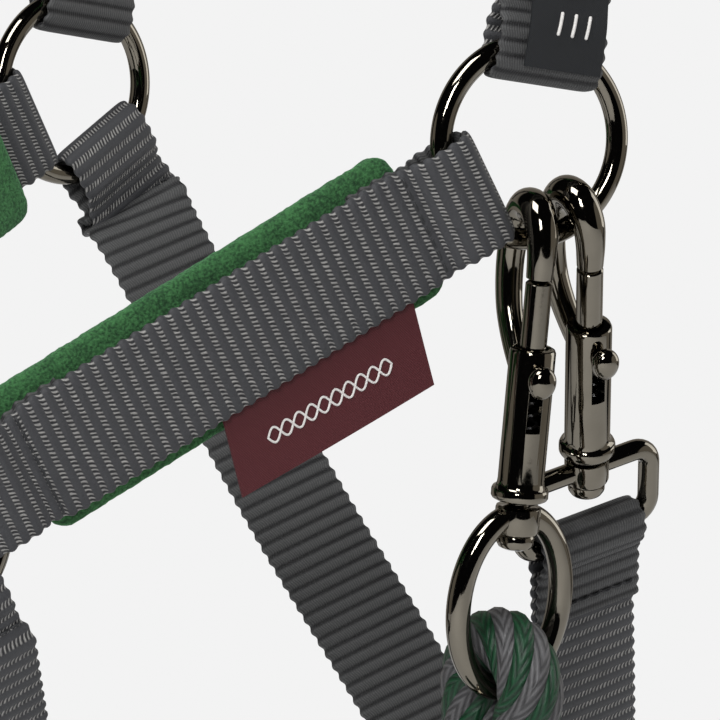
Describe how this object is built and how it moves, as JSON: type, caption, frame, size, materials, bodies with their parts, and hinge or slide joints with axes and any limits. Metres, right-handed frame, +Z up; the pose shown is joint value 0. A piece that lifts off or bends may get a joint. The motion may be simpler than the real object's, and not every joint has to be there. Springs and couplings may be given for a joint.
{
  "type": "horse headcollar",
  "caption": "Padded webbing horse headcollar with crown buckles, throat snap and a clipped braided lead rope.",
  "frame": {"origin": "middle of the crown pad's flat underside, where it rests on the horse's poll", "axes": "+Z up, -X towards the horse's nose, -Y towards its near (left) side"},
  "size_m": [0.2501, 0.1882, 0.6334],
  "materials": {
    "webbing": "ribbed woven webbing",
    "plush": "short plush pile",
    "gunmetal": "polished dark nickel",
    "maroon_label": "woven twill",
    "black_label": "woven satin",
    "rope": "braided, two colours",
    "spring": "drawn wire"
  },
  "bodies": {
    "halter": {"throat_ring_near": "gunmetal", "throat_ring_far": "gunmetal", "nose_ring_near": "gunmetal", "nose_ring_far": "gunmetal", "chin_ring": "gunmetal", "cheek_strap_near": "webbing", "cheek_pad_near": "plush", "upper_strap_near": "webbing", "keeper_near": "webbing", "chin_strap_near": "webbing", "buckle_frame_near": "gunmetal", "cheek_strap_far": "webbing", "cheek_pad_far": "plush", "upper_strap_far": "webbing", "keeper_far": "webbing", "chin_strap_far": "webbing", "buckle_frame_far": "gunmetal", "noseband_strap": "webbing", "noseband_pad": "plush", "jowl_strap": "webbing", "crown_strap": "webbing", "crown_pad": "plush", "throat_lash": "webbing", "side_label": "maroon_label", "size_label": "black_label", "throat_snap_eye": "gunmetal"},
    "lead_snap": {"lead_snap_body": "gunmetal", "lead_snap_pin": "gunmetal", "lead_snap_spring": "spring"},
    "lead_bolt": {"lead_snap_bolt": "gunmetal"},
    "lead_eye": {"lead_snap_eye": "gunmetal", "rope_eye": "rope", "rope_ferrule": "gunmetal", "rope_drop": "rope", "rope_hank": "rope", "rope_tie": "rope", "rope_end": "rope"},
    "throat_bolt": {"throat_snap_bolt": "gunmetal"},
    "near_tongue": {"buckle_tongue_near": "gunmetal"},
    "far_tongue": {"buckle_tongue_far": "gunmetal"},
    "throat_snap": {"throat_snap_body": "gunmetal", "throat_snap_pin": "gunmetal", "throat_snap_spring": "spring"}
  },
  "joints": [
    {"name": "lead_snap_swing", "type": "hinge", "parent": "halter", "child": "lead_snap", "pos_m": [-0.04, -0.0855, -0.2066], "axis": [-0.9848, 0.1736, 0], "range_deg": [-2, 60]},
    {"name": "lead_bolt_slide", "type": "slide", "parent": "lead_snap", "child": "lead_bolt", "axis": [0.0004, 0.145, -0.9894], "range_m": [0, 0.01], "stiffness_N_per_m": 400, "springref_m": -0.004, "deforming": ["lead_snap_spring"]},
    {"name": "lead_eye_swivel", "type": "hinge", "parent": "lead_snap", "child": "lead_eye", "pos_m": [-0.04102, -0.08357, -0.26049], "axis": [0.0004, 0.145, -0.9894], "continuous": true},
    {"name": "throat_snap_swivel", "type": "hinge", "parent": "halter", "child": "throat_snap", "pos_m": [-0.01564, -0.07273, -0.25381], "axis": [0.2706, 0.3734, -0.8873], "range_deg": [-6, 6]},
    {"name": "throat_bolt_slide", "type": "slide", "parent": "throat_snap", "child": "throat_bolt", "axis": [0.2706, 0.3734, -0.8873], "range_m": [0, 0.01], "stiffness_N_per_m": 400, "springref_m": -0.004, "deforming": ["throat_snap_spring"]},
    {"name": "near_tongue_turn", "type": "hinge", "parent": "halter", "child": "near_tongue", "pos_m": [-0.02287, -0.07979, -0.09373], "axis": [0.9835, 0, -0.1807], "range_deg": [0, 24]},
    {"name": "far_tongue_turn", "type": "hinge", "parent": "halter", "child": "far_tongue", "pos_m": [-0.02287, 0.07979, -0.09373], "axis": [-0.9835, 0, 0.1807], "range_deg": [0, 24]}
  ]
}
